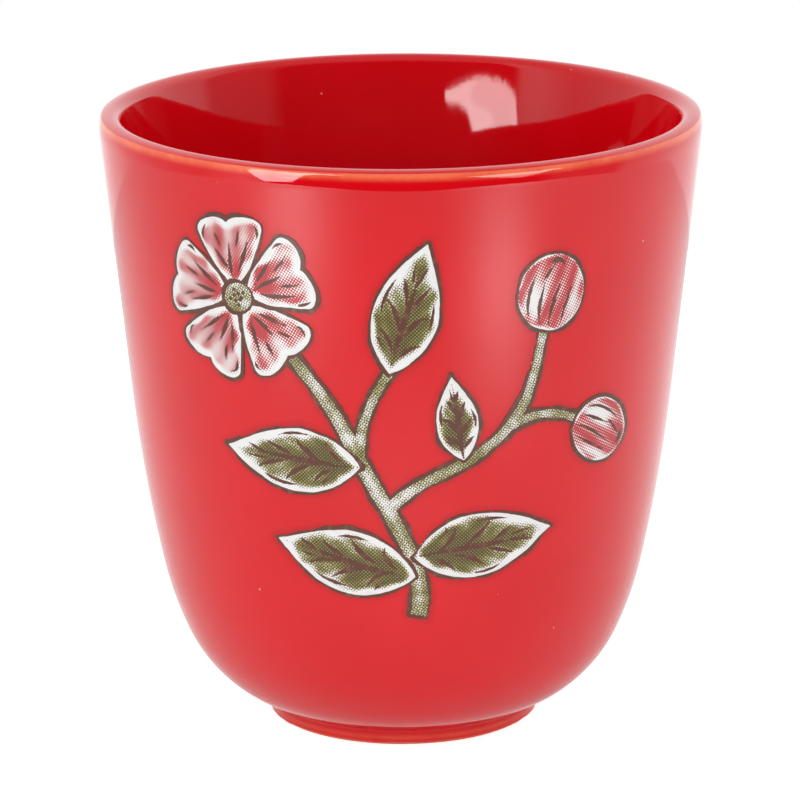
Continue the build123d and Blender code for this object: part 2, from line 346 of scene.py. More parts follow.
def turned(name, visible, hidden, front, thin=0, drip_rows=0):
    """A closed coat turned about the axis. visible and hidden are its two lines, both from the same end.

    front is how finely its front is divided against its back; thin gives each visible point's share of thin
    glaze's orange, which on the outer coat also paints a highlight along the cove; drip_rows gives how far
    each visible point follows the uneven end of the coat."""
    angles = spread_angles(front)
    count = len(angles)
    line = np.concatenate([visible, hidden[::-1]])
    rows = len(line)
    thin, drip_rows = (np.zeros(len(visible)) + given for given in (thin, drip_rows))
    # The hidden side has no thin glaze, and follows the uneven end only near it
    thin = np.append(thin, np.zeros(len(hidden)))
    drips = np.append(drip_rows, np.interp(hidden[::-1, 1], [0, drip_fade], [drip_rows.max(), 0]))
    radius, height = line[:, :1], line[:, 1:]
    height = height + drips[:, None] * sum_of(drip_waves, angles)[None, :] * drip_depth
    radius = radius * (1 - wobble(angles[None, :], height))
    verts = np.stack([radius * np.sin(angles), -radius * np.cos(angles), height], -1)

    # The bake's map: the visible line over most of it, and the hidden one in a strip along one side
    lengths = np.concatenate([[0], np.cumsum(np.hypot(*np.diff(line, axis=0).T))])
    split, total = lengths[len(visible) - 1], lengths[-1] * 1.01
    up = np.where(
        np.arange(rows + 1) < len(visible),
        bake_split * np.append(lengths, 0) / split,
        bake_strip + (1 - bake_strip) * (np.append(lengths, total) - split) / (total - split),
    )

    poles = {i for i in range(rows) if line[i, 0] < 1e-9}
    index = np.arange(rows * count).reshape(rows, count)
    for i in poles:
        index[i, :] = index[i, 0]
    used = np.unique(index)
    number = np.searchsorted(used, index).tolist()
    faces, places = [], []
    for i in range(rows):
        j = (i + 1) % rows
        if i in poles and j in poles:
            continue
        low, high = bake_strip if i == len(visible) - 1 else up[i], up[i + 1]
        for k in range(count):
            m = (k + 1) % count
            corners = [(i, k, k, low), (j, k, k, high), (j, m, k + 1, high), (i, m, k + 1, low)]
            # At a pole two corners are one
            if i in poles:
                corners.pop(3)
            elif j in poles:
                corners.pop(2)
            faces.append([number[row][column] for row, column, _, _ in corners])
            places += [(turn / count, share) for _, _, turn, share in corners]
    corner_rows = {0, len(visible) - 1, len(visible), rows - 1} - poles
    row_of = (used // count).tolist()
    sharp = lambda a, b: row_of[a] == row_of[b] and row_of[a] in corner_rows
    coat = mapped_piece(name, verts.reshape(-1, 3)[used], faces, sharp, places)
    add_values(coat.data, "thin", np.repeat(thin, count)[used])
    return coat


def spread_angles(front):
    """Angles about the axis from the back round by the front (0), front times closer there."""
    share = np.linspace(-1, 1, around_steps, endpoint=False)
    bend = (1 - 1 / front) * 0.5
    return math.pi * (share - bend * np.sin(math.pi * share) / math.pi)


def add_values(mesh, name, values):
    attribute = mesh.attributes.new(name, "FLOAT", "POINT")
    attribute.data.foreach_set("value", np.asarray(values, np.float32))


def add_object(name, data):
    made = bpy.data.objects.new(name, data)
    bpy.context.scene.collection.objects.link(made)
    return made


def add_piece(name, mesh):
    mesh.validate()
    return add_object(name, mesh)


def mapped_piece(name, verts, faces, sharp, places):
    """A smooth piece with its bake's map; sharp tells from an edge's two points if it is a sharp one."""
    mesh = bpy.data.meshes.new(name)
    mesh.from_pydata(verts.tolist(), [], faces)
    mesh.polygons.foreach_set("use_smooth", [True] * len(faces))
    for edge in mesh.edges:
        edge.use_edge_sharp = sharp(*edge.vertices)
    mesh.uv_layers.new(name="OFBake").data.foreach_set("uv", np.ravel(places))
    return add_piece(name, mesh)


# The print, drawn on a flat grid in millimetres
random = np.random.default_rng(11)


def place(shares):
    return np.array([print_offset + print_width * shares[0], print_bottom + print_rise * shares[1]])


def direction(angle):
    return np.array([cos(angle), sin(angle)])


def bezier(points, steps=16):
    a, b, c, d = np.asarray(points, float)
    t = np.linspace(0, 1, steps + 1)[:, None]
    return (1 - t) ** 3 * a + 3 * (1 - t) ** 2 * t * b + 3 * (1 - t) * t * t * c + t**3 * d


def placed(shares, start, angle, size):
    """Points given as shares of a form's length and width, turned to its heading and placed."""
    along, side = (np.asarray(shares, float) * size).T
    return start + np.outer(along, direction(angle)) + np.outer(side, direction(angle + 90))


def outline(shares, start, angle, size):
    """A closed line from its chain of control points."""
    points = placed(shares + shares[:1], start, angle, size)
    return np.concatenate([bezier(points[i : i + 4])[:-1] for i in range(0, len(shares), 3)])


def stem_outline(shares, width_shares):
    route = [place(share) for share in shares]
    turn = np.array([[0, 1], [-1, 0]])
    start = (route[1] - route[0]) @ turn
    end = (route[3] - route[2]) @ turn
    start, end = start / np.linalg.norm(start), end / np.linalg.norm(end)
    first, last = (stem_width * share / 2 for share in width_shares)
    sides = [start * first, start * first, end * last, end * last]
    left, right = (bezier([p + way * s for p, s in zip(route, sides)], 24) for way in (1, -1))
    return np.concatenate([left, right[::-1]])


class Form:
    """One drawn form: what it is, its place, heading and size, its outlines and its strokes."""

    def __init__(self, kind, start=None, angle=0, size=(1, 1), chain=None, strokes=()):
        self.kind, self.start, self.angle, self.size, self.strokes = kind, start, angle, size, strokes
        self.outlines = [outline(chain, start, angle, size)] if chain else []


def sprig_forms():
    """The sprig's forms, from the lowest to the one on top."""
    stem = Form("stem")
    stem.outlines = [stem_outline(*shares) for shares in stem_shares]
    forms = [stem]
    for kind, rows, full_size, chain, strokes in (
        ("leaf", leaf_shares, leaf_size, leaf_outline_shares, leaf_stroke_shares),
        ("berry", berry_shares, berry_size, berry_outline_shares, berry_stroke_shares),
    ):
        for shares, angle, scale in rows:
            size = tuple(s * scale for s in full_size)
            forms.append(Form(kind, place(shares), angle, size, chain, strokes))
    blossom = place(blossom_place_shares)
    for i in range(petal_count):
        angle = petal_first_angle + 360 * i / petal_count
        forms.append(Form("petal", blossom, angle, petal_size, petal_outline_shares, petal_stroke_shares))
    forms.append(Form("centre", blossom, 0, (2 * blossom_centre_radius,) * 2, berry_outline_shares))
    return forms


forms = sprig_forms()
corners = np.concatenate([line for form in forms for line in form.outlines])
grid_low = np.floor(corners.min(0) - print_margin)
grid_counts = np.ceil((corners.max(0) + print_margin - grid_low) / cell / 2).astype(int) * 2 + 1
across_line = grid_low[0] + cell * np.arange(grid_counts[0])
up_line = grid_low[1] + cell * np.arange(grid_counts[1])
far_away = 50.0


def blank():
    return np.full(grid_counts, far_away)


def on_grid(field, across, up):
    """A field's values at places, each from the nearest grid point."""
    i = np.clip(np.rint((across - across_line[0]) / cell).astype(int), 0, grid_counts[0] - 1)
    j = np.clip(np.rint((up - up_line[0]) / cell).astype(int), 0, grid_counts[1] - 1)
    return field[i, j]


def window(points, margin):
    """The slice of the grid round some points."""
    low = np.floor((points.min(0) - margin - grid_low) / cell).astype(int)
    high = np.ceil((points.max(0) + margin - grid_low) / cell).astype(int) + 1
    low, high = np.maximum(low, 0), np.minimum(high, grid_counts)
    return slice(low[0], high[0]), slice(low[1], high[1])


def grid_points(part=(slice(None), slice(None))):
    return np.meshgrid(across_line[part[0]], up_line[part[1]], indexing="ij")


def line_distance(x, y, line):
    """Distance of places from a closed line, negative inside."""
    best = np.full(x.shape, np.inf)
    inside = np.zeros(x.shape, bool)
    for a, b in zip(line, np.roll(line, -1, 0)):
        edge = b - a
        share = np.clip(((x - a[0]) * edge[0] + (y - a[1]) * edge[1]) / (edge @ edge + 1e-12), 0, 1)
        best = np.minimum(best, (x - a[0] - share * edge[0]) ** 2 + (y - a[1] - share * edge[1]) ** 2)
        if a[1] != b[1]:
            crosses = (a[1] > y) != (b[1] > y)
            inside ^= crosses & (x < edge[0] * (y - a[1]) / (b[1] - a[1]) + a[0])
    return np.where(inside, -1, 1) * np.sqrt(best)


def distance_to(line):
    """Distance from a closed outline over the whole grid, negative inside."""
    field = blank()
    part = window(line, print_margin)
    field[part] = line_distance(*grid_points(part), line)
    return field


def stroke_field(field, points, width):
    """Adds a brush stroke, thin at both ends, to a distance field."""
    route = bezier(points, 30)
    t = np.linspace(0, 1, len(route))
    radii = width / 2 * np.minimum(1, 2.6 * t + 0.12) * np.minimum(1, 1.9 * (1 - t) + 0.05)
    part = window(route, width + 0.6)
    x, y = grid_points(part)
    for (px, py), radius in zip(route, radii):
        field[part] = np.minimum(field[part], np.hypot(x - px, y - py) - radius)


def rough(size):
    """Smooth random values from -1 to 1 over the grid, in blotches of a size in millimetres."""
    counts = np.ceil(grid_counts * cell / size).astype(int) + 3
    values = random.uniform(-1, 1, counts)
    x, y = (np.arange(count) * cell / size for count in grid_counts)
    i, j = x.astype(int), y.astype(int)
    u = smoothstep(0, 1, x - i)[:, None]
    v = smoothstep(0, 1, y - j)[None, :]
    near = ((0, 0), (1, 0), (0, 1), (1, 1))
    return sum(values[np.ix_(i + k, j + m)] * (u if k else 1 - u) * (v if m else 1 - v) for k, m in near)


def local_shares(form):
    """How far each grid point lies along and across a form, as shares of its size."""
    x, y = grid_points()
    along, side = direction(form.angle), direction(form.angle + 90)
    x, y = x - form.start[0], y - form.start[1]
    return (x * along[0] + y * along[1]) / form.size[0], (x * side[0] + y * side[1]) / form.size[1]


def tone_of(form, distance):
    """How dense a form's dots are, from 0 to 1."""
    depth = -distance
    blotch = 0.5 + 0.5 * rough(2.6)
    fine = rough(0.9)
    if form.kind == "stem":
        return np.clip(0.58 + 0.34 * (blotch - 0.5) + 0.1 * fine - 0.16 * smoothstep(0.4, 1.1, depth), 0, 1)
    along, side = local_shares(form)
    if form.kind == "leaf":
        edge = smoothstep(0.15, 1.7, depth + 0.7 * rough(2.4))
        vein = np.exp(-((side / 0.13) ** 2))
        rib = 0.5 + 0.5 * np.cos(2 * math.pi * (along - 0.9 * np.abs(side)) * 5.2)
        body = 0.34 + 0.46 * (1 - smoothstep(0.15, 0.95, along)) + 0.16 * rib + 0.22 * vein
        return np.clip(edge * (body + 0.46 * (blotch - 0.5) + 0.06 * fine), 0, 0.96)
    if form.kind == "petal":
        edge = smoothstep(0.2, 1.5, depth + 0.6 * rough(1.8))
        body = 0.52 + 0.48 * (1 - smoothstep(0.25, 0.95, along)) + 0.14 * np.cos(26 * side + 3 * along)
        return np.clip(edge * (body + 0.4 * (blotch - 0.5) + 0.05 * fine), 0, 1)
    if form.kind == "berry":
        light = np.exp(-(((along + 0.12) / 0.26) ** 2 + ((side - 0.22) / 0.15) ** 2))
        low_light = np.exp(-(((along - 0.02) / 0.42) ** 2 + ((side + 0.38) / 0.08) ** 2))
        band = 0.14 * np.cos(30 * side + 5 * along)
        tone = 0.86 + band - 0.95 * light - 0.6 * low_light + 0.4 * (blotch - 0.5)
        return np.clip(tone * smoothstep(-0.1, 0.5, depth + 0.3 * rough(1.8)), 0, 1)
    return np.clip(0.55 + 0.5 * (blotch - 0.5) + 0.15 * fine, 0, 1)


def draw_sprig():
    """Distance fields of the print's layers, and the dot tones."""
    distances = []
    for form in forms:
        field = np.min([distance_to(line) for line in form.outlines], axis=0)
        # A hand's unsteadiness along the drawn edges
        distances.append(field + np.where(field < far_away / 2, 0.1 * rough(2.2) + 0.03 * rough(0.5), 0))
    above, ink = blank(), blank()
    layers = {colour: blank() for colour in dot_colours}
    tones = {colour: np.zeros(grid_counts) for colour in dot_colours}
    for form, distance in reversed(list(zip(forms, distances))):
        width = outline_width * (0.76 + 0.6 * rough(3.0) + 0.15 * rough(0.8)) + 0.05 * rough(0.25)
        band = np.maximum(distance - width, -distance - 0.06)
        marks = blank()
        for *points, stroke_width in form.strokes:
            shaken = np.asarray(points) + random.normal(0, 0.012, (4, 2))
            stroke_field(marks, placed(shaken, form.start, form.angle, form.size), stroke_width)
        marks = np.maximum(marks + 0.06 * rough(0.6) + 0.03 * rough(0.25), distance + 0.1)
        if form.kind == "centre":
            for i in range(9):
                spot = form.start + direction(40 * i) * (1.25 if i % 2 else 0.6)
                stroke_field(marks, [spot, spot, spot + 0.02, spot + 0.02], 0.55)
        ink = np.minimum(ink, np.maximum(np.minimum(band, marks), -above))
        colour = "olive" if form.kind in ("stem", "leaf", "centre") else "rose"
        tone = tone_of(form, distance)
        seen = (distance < 0.3) & (above > -0.3)
        tones[colour] = np.where(seen & (distance < above), tone, tones[colour])
        shown = np.maximum(np.maximum(distance, -above), (0.05 - tone) * 4)
        layers[colour] = np.minimum(layers[colour], shown)
        above = np.minimum(above, distance)
    return above - 0.1, layers, tones, ink, above


dot_colours = ("olive", "rose")
outer_line = outer_section(0, bare_height, squarer=True)


def on_cup(across, up, lift):
    """Where places of the flat print lie on the cup's front, lifted off the glaze."""
    radii, heights = outer_line[::-1].T
    keep = np.concatenate([[True], np.diff(heights) > 1e-9])
    heights, radii = heights[keep], radii[keep]
    radius = np.interp(up, heights, radii)
    slope = (np.interp(up + 0.1 * mm, heights, radii) - np.interp(up - 0.1 * mm, heights, radii)) / (0.2 * mm)
    x = rim_radius * np.sin(across / rim_radius)
    angle = np.arcsin(x / radius)
    radius = radius * (1 - wobble(angle, up))
    lean = np.arctan(slope)
    out, rise = np.cos(lean) * lift, -np.sin(lean) * lift
    return np.stack([(radius + out) * np.sin(angle), -(radius + out) * np.cos(angle), up + rise], -1)


def print_layer(name, field, lifts, step, tone=None):
    """A thin closed shell over the grid's negative part, wrapped onto the cup."""
    field = field[::step, ::step]
    xs, ys = across_line[::step], up_line[::step]
    field = np.where(field == 0, 1e-6, field)
    field[0, :] = field[-1, :] = field[:, 0] = field[:, -1] = far_away
    inside = field < 0
    points, point_index = [], {}

    def point(*ends):
        """The number of the point at a grid corner, or where the field is 0 between two corners."""
        key = tuple(sorted(ends))
        if key not in point_index:
            (i, j), (k, m) = ends[0], ends[-1]
            share = 0
            if len(ends) == 2:
                share = field[i, j] / (field[i, j] - field[k, m])
                share = min(max(share, crossing_margin), 1 - crossing_margin)
            point_index[key] = len(points)
            points.append((xs[i] + share * (xs[k] - xs[i]), ys[j] + share * (ys[m] - ys[j])))
        return point_index[key]

    tops, rims = [], []
    touched = inside[:-1, :-1] | inside[1:, :-1] | inside[1:, 1:] | inside[:-1, 1:]
    for i, j in zip(*np.nonzero(touched)):
        ring = [(i, j), (i + 1, j), (i + 1, j + 1), (i, j + 1)]
        shape = []
        for a, b in zip(ring, ring[1:] + ring[:1]):
            if inside[a]:
                shape.append((point(a), False))
            if inside[a] != inside[b]:
                shape.append((point(a, b), True))
        tops.append([v for v, _ in shape])
        rims += [(v, w) for (v, v_cut), (w, w_cut) in zip(shape, shape[1:] + shape[:1]) if v_cut and w_cut]
    flat = np.array(points)
    count = len(points)
    low, high = (on_cup(*(flat.T * mm), lift) for lift in lifts)
    faces = tops + [[v + count for v in reversed(face)] for face in tops]
    faces += [[w, v, v + count, w + count] for v, w in rims]
    on_rim = {frozenset((v + up, w + up)) for v, w in rims for up in (0, count)}
    doubled = np.concatenate([flat, flat])
    share = doubled - doubled.min(0)
    share /= share.max()
    share[:count, 1] *= bake_split
    share[count:, 1] = bake_strip + (1 - bake_strip) * share[count:, 1]
    loops = np.concatenate(faces)
    loops[2 * sum(len(face) for face in tops) :] %= count
    sharp = lambda a, b: frozenset((a, b)) in on_rim
    layer = mapped_piece(name, np.concatenate([high, low]), faces, sharp, share[loops])
    where = layer.data.attributes.new("place", "FLOAT_VECTOR", "POINT")
    where.data.foreach_set("vector", np.concatenate([doubled, np.zeros((2 * count, 1))], 1).ravel())
    if tone is not None:
        add_values(layer.data, "tone", on_grid(tone, *doubled.T))
    return layer


# Materials
class Nodes:
    """Short calls for building a node tree."""

    def __init__(self, tree):
        self.tree = tree
        tree.nodes.clear()

    def new(self, kind, sockets=None, **settings):
        """A node with its settings, and values or links for its inputs by name or number."""
        node = self.tree.nodes.new(f"ShaderNode{kind}")
        for name, value in settings.items():
            setattr(node, name, value)
        for socket, value in (sockets or {}).items():
            if isinstance(value, bpy.types.NodeSocket):
                self.tree.links.new(value, node.inputs[socket])
            elif value is not None:
                node.inputs[socket].default_value = value
        return node

    def add(self, kind, *inputs, **settings):
        return self.new(kind, dict(enumerate(inputs)), **settings).outputs[0]

    def math(self, operation, a, b=None, c=None, clamp=False):
        return self.add("Math", a, b, c, operation=operation, use_clamp=clamp)

    def times(self, a, b, plus=None, clamp=False):
        """a * b, or a * b + plus."""
        return self.math("MULTIPLY" if plus is None else "MULTIPLY_ADD", a, b, plus, clamp)

    def bell(self, squares):
        """1 where the squares of the distances are 0, falling off as a bell."""
        return self.math("POWER", math.e, self.times(squares, -0.5))

    def step(self, low, high, value):
        """A smooth step of a value from 0 at low to 1 at high."""
        ends = {"Value": value, "From Min": low, "From Max": high}
        return self.new("MapRange", ends, interpolation_type="SMOOTHSTEP").outputs[0]

    def mix(self, share, a, b):
        a, b = ((*colour, 1) if isinstance(colour, tuple) else colour for colour in (a, b))
        return self.new("Mix", {0: share, 6: a, 7: b}, data_type="RGBA").outputs[2]

    def attribute(self, name, out="Fac"):
        return self.new("Attribute", attribute_name=name).outputs[out]

    def parts(self, vector):
        return self.new("SeparateXYZ", {0: vector}).outputs[:]

    def noise(self, place, scale, detail=2.0):
        sockets = {"Vector": place, "Scale": scale, "Detail": detail}
        return self.new("TexNoise", sockets).outputs["Fac"]

    def spots(self, place, scale, size, share):
        """Scattered round spots: a share of the cells have one, of a size in cells."""
        cells = self.new("TexVoronoi", {"Vector": place, "Scale": scale}).outputs
        chances = self.new("SeparateColor", {0: cells["Color"]}).outputs
        chosen = self.math("LESS_THAN", chances[0], share)
        grown = self.times(size, self.times(chances[1], 0.8, 0.4))
        near = self.math("SUBTRACT", 1.0, self.math("DIVIDE", cells["Distance"], grown), clamp=True)
        return self.times(self.step(0.0, 0.45, near), chosen)

    def bump(self, height, strength, distance, normal=None):
        sockets = {"Strength": strength, "Distance": distance, "Height": height, "Normal": normal}
        return self.new("Bump", sockets).outputs[0]

    def object_place(self):
        return self.new("TexCoord").outputs["Object"]


def new_material(name, build, *given):
    """A material with the surface shader that build makes."""
    made = bpy.data.materials.new(name)
    made.use_nodes = True
    nodes = Nodes(made.node_tree)
    nodes.new("OutputMaterial", {0: build(nodes, *given)})
    return made


glaze_ior = 1.5
red = (0.662, 0.0012, 0.006)
red_clouded = tuple(c * gain for c, gain in zip(red, (1.06, 1.8, 1.5)))
film_red = (0.432, 0.000576, 0.00324)  # round the print
break_orange = (0.9, 0.165, 0.075)
speck_pale = (0.9, 0.62, 0.5)
speck_dark = (0.1, 0.01, 0.008)
print_white = (0.84, 0.84, 0.83)
olive_dark = (0.075, 0.044, 0.02)
olive_green = (0.3, 0.29, 0.06)
rose_dot = (0.515, 0.04, 0.05)
ink_brown = (0.112, 0.034, 0.02)
clay_pale = (0.8, 0.62, 0.47)
clay_stained = (0.68, 0.2, 0.12)
clay_warm = (0.74, 0.4, 0.24)
clay_sand = (0.45, 0.26, 0.16)
ink_worn = (0.19, 0.085, 0.05)
print_worn = tuple(c * 0.93 for c in print_white)
dot_pitch = 0.38  # of the print's screens, in millimetres
green_angle, dark_angle, rose_angle = 15, 45, 30  # of the same screens


def glaze_skin(nodes, film=None):
    """Red glaze: clouded, breaking to orange where it is thin and, as a painted highlight, in a band along
    the cove, with specks and pinholes.
    """
    place = nodes.object_place()
    cloud = nodes.noise(place, 55.0, 3.0)
    colour = nodes.mix(nodes.step(0.3, 0.72, cloud), red, red_clouded)
    mottle = nodes.noise(place, 900.0)
    streak = nodes.noise(place, 160.0)
    amount = nodes.times(nodes.attribute("thin"), nodes.times(streak, 1.5, 0.26))
    amount = nodes.times(amount, nodes.times(mottle, 0.5, 0.75), clamp=True)
    colour = nodes.mix(amount, colour, break_orange)
    if film is not None:
        colour = nodes.mix(nodes.times(film, 0.45), colour, film_red)
    pale = nodes.spots(place, 230.0, 0.04, 0.2)
    colour = nodes.mix(nodes.times(pale, 0.55), colour, speck_pale)
    dark = nodes.spots(place, 150.0, 0.026, 0.1)
    colour = nodes.mix(nodes.times(dark, 0.8), colour, speck_dark)
    grain = nodes.noise(place, 420.0)
    swell = nodes.noise(place, 70.0, 1.0)
    normal = nodes.bump(swell, 0.05, 0.001)
    normal = nodes.bump(grain, 0.05, 0.0001, normal)
    normal = nodes.bump(nodes.math("SUBTRACT", pale, dark), 0.5, 0.00003, normal)
    return {"Base Color": colour, "Roughness": nodes.times(grain, 0.03, 0.025), "Normal": normal}


def clay_skin(nodes):
    """Bare fired clay: fine-grained, a little sandy and stained by the glaze near it."""
    place = nodes.object_place()
    sand = nodes.noise(place, 1400.0, 3.0)
    stain = nodes.noise(place, 140.0, 3.0)
    near_glaze = nodes.step(0.0, 0.5 * bare_height, nodes.parts(place)[2])
    colour = nodes.mix(nodes.step(0.35, 0.7, stain), clay_pale, clay_warm)
    colour = nodes.mix(near_glaze, colour, clay_stained)
    colour = nodes.mix(nodes.times(nodes.step(0.55, 0.75, sand), 0.25), colour, clay_sand)
    return {"Base Color": colour, "Roughness": 0.82, "Normal": nodes.bump(sand, 0.5, 0.00008)}


def print_finish(nodes, colour):
    """What all the print's layers share: a fused gloss with a fine grain."""
    place = nodes.object_place()
    grain = nodes.noise(place, 1500.0)
    swell = nodes.noise(place, 70.0, 1.0)
    normal = nodes.bump(swell, 0.1, 0.001)
    normal = nodes.bump(grain, 0.12, 0.00005, normal)
    return {"Base Color": colour, "Roughness": nodes.times(grain, 0.1, 0.1), "Normal": normal}


def patchy_skin(nodes, scale, low, high, colour, worn):
    patches = nodes.step(low, high, nodes.noise(nodes.object_place(), scale, 3.0))
    return print_finish(nodes, nodes.mix(patches, colour, worn))


def dots(nodes, angle, tone):
    """A screen of round dots at an angle: 1 on a dot."""
    place, turn = nodes.attribute("place", "Vector"), math.radians(angle)
    ways = nodes.parts(nodes.add("VectorRotate", place, None, None, turn, rotation_type="Z_AXIS"))
    waves = [nodes.math("COSINE", nodes.times(way, 2 * math.pi / dot_pitch)) for way in ways[:2]]
    height = nodes.times(nodes.math("ADD", *waves), 0.25, 0.5)
    edge = nodes.times(tone, -1.16, 1.08)
    return nodes.step(nodes.math("SUBTRACT", edge, 0.1), nodes.math("ADD", edge, 0.1), height)


def olive_skin(nodes):
    tone = nodes.attribute("tone")
    green = dots(nodes, green_angle, nodes.times(tone, 1.5, -0.22, clamp=True))
    dark = dots(nodes, dark_angle, nodes.times(tone, 0.72))
    return print_finish(nodes, nodes.mix(dark, nodes.mix(green, print_white, olive_green), olive_dark))


def rose_skin(nodes):
    rose = dots(nodes, rose_angle, nodes.attribute("tone"))
    return print_finish(nodes, nodes.mix(rose, print_white, rose_dot))


# The skins by the record's slots
skins = {
    "clay": clay_skin,
    "red_glaze": lambda nodes: glaze_skin(nodes, nodes.attribute("film")),
    "red_lining": glaze_skin,
    "white_print": lambda nodes: patchy_skin(nodes, 300.0, 0.45, 0.75, print_white, print_worn),
    "olive_print": olive_skin,
    "rose_print": rose_skin,
    "brown_print": lambda nodes: patchy_skin(nodes, 700.0, 0.5, 0.78, ink_brown, ink_worn),
}


def principled(nodes, skin):
    """A Principled shader: a skin gives its changing inputs."""
    return nodes.new("BsdfPrincipled", {**skin(nodes), "IOR": glaze_ior}).outputs[0]


materials = {slot: new_material(slot, principled, skin) for slot, skin in skins.items()}


def finish_piece(piece, slot, *nodes):
    piece.data.materials.clear()
    piece.data.materials.append(materials[slot])
    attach(piece, "root")
    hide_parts(*nodes)


def lip_thinness(line):
    """Share of thin glaze along a line that starts at the rim's crest: most just below the lip's edge."""
    fall = cup_height - line[:, 1]
    edge_fall = crown_radius * (1 - cos(crown_turn))
    start, full = (share * edge_fall for share in thin_start)
    return smoothstep(start, full, fall) * (1 - smoothstep(*thin_end, fall))


def make_coats(above):
    """The glaze: outside, lining, and in the recess under the foot."""
    hidden = outer_section(glaze_thickness, bare_height, hidden_row_spacing, hidden_lip_steps)
    # The coat's end rounds in to the clay
    end = outer_line[-1]
    turn = np.radians([30, 55, 75])
    rounded = end - glaze_thickness * np.stack([1 - np.cos(turn), 0.3 * np.sin(turn)], -1)
    line = np.concatenate([outer_line, rounded])
    thin = lip_thinness(line)
    foot = smoothstep(*coat_end, line[:, 1])
    # A narrow band along the cove, tinted like thin glaze: a painted highlight
    cove = painted_cove_highlight * np.exp(-(((line[:, 1] - underside_height) / (0.6 * cove_radius)) ** 2))
    coat = turned("outer_coat", line, hidden, 2.2, thin + cove + foot, foot)
    # The film round the print shows on the glaze
    co = np.array([v.co for v in coat.data.vertices])
    across = rim_radius * np.arcsin(np.clip(co[:, 0] / rim_radius, -1, 1))
    near = np.where(co[:, 1] < 0, on_grid(above, across / mm, co[:, 2] / mm), far_away)
    add_values(coat.data, "film", 1 - smoothstep(*film_reach, near))
    finish_piece(coat, "red_glaze", "outer_glaze")

    hidden = inner_section(glaze_thickness, hidden_row_spacing, hidden_lip_steps)
    lining = turned("lining_coat", inner_section(0), hidden, 1.0)
    finish_piece(lining, "red_lining", "lining_glaze")

    line = recess_section(0, bare_height)
    hidden = recess_section(glaze_thickness, bare_height, hidden_row_spacing)
    foot = smoothstep(*recess_coat_end, line[:, 1])
    base = turned("recess_coat", line, hidden, 1.0, foot, foot)
    finish_piece(base, "red_glaze", "base_glaze")


def make_print():
    ground, layers, tones, ink, above = draw_sprig()
    white = print_layer("white_ground", ground, ground_lift, 2)
    finish_piece(white, "white_print", "print_white_ground")
    for colour in dot_colours:
        piece = print_layer(f"{colour}_dots", layers[colour], colour_lift, 2, tones[colour])
        finish_piece(piece, f"{colour}_print", f"print_{colour}_colour")
    finish_piece(print_layer("ink_line", ink, ink_lift, 1), "brown_print", "print_brown_line")
    return above


# Studio
camera_place = (0, -0.7, 0.23515)
camera_pitch = 14.958
camera_yaw = 0.025
camera_roll = -0.278
camera_lens = 215.35
sensor_width = 36.0
# How far the table reaches in front, at the sides and behind, and between which angles it changes
table_front = 0.285
table_side = 0.42
table_back = 0.31
front_turns = (5, 42)
back_turns = (60, 85)


def make_camera():
    data = bpy.data.cameras.new("camera")
    data.lens = camera_lens
    data.sensor_width = sensor_width
    camera = add_object("camera", data)
    turns = ((camera_yaw, "Z"), (90 - camera_pitch, "X"), (camera_roll, "Z"))
    yaw, pitch, roll = (Matrix.Rotation(math.radians(angle), 4, axis) for angle, axis in turns)
    camera.matrix_world = Matrix.Translation(camera_place) @ (yaw @ pitch @ roll)
    bpy.context.scene.camera = camera


def make_world():
    """White for the camera. For the rest, a white studio that is dark in front, under the lamps."""
    world = bpy.data.worlds.new("studio")
    bpy.context.scene.world = world
    world.use_nodes = True
    nodes = Nodes(world.node_tree)
    x, y, z = nodes.parts(nodes.new("TexCoord").outputs["Generated"])
    # 0 straight behind, 0.5 in front, rising by the left
    turn = nodes.times(nodes.math("ARCTAN2", x, nodes.times(y, -1.0)), 0.5 / math.pi, 0.5)
    ramp = nodes.new("ValToRGB", {0: turn})
    low_light = [
        (-180, 1.1), (-140, 1.2), (-112, 0.85), (-80, 0.62), (-62, 1.2), (-54, 1.1), (-50, 0.04),
        (52, 0.05), (60, 0.36), (88, 0.42), (94, 1), (130, 1.4), (180, 1.1),
    ]
    stops = ramp.color_ramp.elements
    for i, (angle, level) in enumerate(low_light):
        stop = stops[i] if i < len(stops) else stops.new(1.0)
        stop.position = angle / 360 + 0.5
        stop.color = (level, level, level, 1)
    ceiling = nodes.step(math.radians(38), math.radians(62), nodes.math("ARCSINE", z))
    seen = nodes.mix(ceiling, ramp.outputs[0], (0.6, 0.6, 0.6))
    path = nodes.new("LightPath").outputs
    lit = nodes.add("Background", seen, 1.0)
    white = nodes.add("Background", (1, 1, 1, 1), 1.0)
    both = nodes.add("MixShader", path["Is Camera Ray"], lit, white)
    nodes.new("OutputWorld", {0: both})


floor_white = 0.78
floor_grey = 0.86
# The darker patch in front is painted shade on the table
front_painted_shade = (0.0, -0.26, 0.075, 0.28)  # where the table in front is darker: across, back, size, share
# Painted light on the table, which only the cup's gloss mirrors beyond its plain white: a glow over all of
# it, and pools of light and one of shade, as across, back, size in metres, level
painted_glow_level = 0.12
painted_light_pools = [
    (-0.15, -0.185, 0.036, 2.1),
    (0.122, -0.165, 0.03, 2.2),
    (-0.26, -0.31, 0.07, 1.8),
    (0.22, -0.28, 0.06, 1.8),
    (0.0, -0.12, 0.035, 0.25),
    (0.0, -0.24, 0.05, -0.3),
    (-0.13, 0.12, 0.08, 0.2),
    (0.15, 0.12, 0.09, 0.45),
]
# A painted ring of light on the table round the foot, that only the gloss sees
painted_foot_glow_level = 0.25
painted_foot_glow_width = 2 * mm


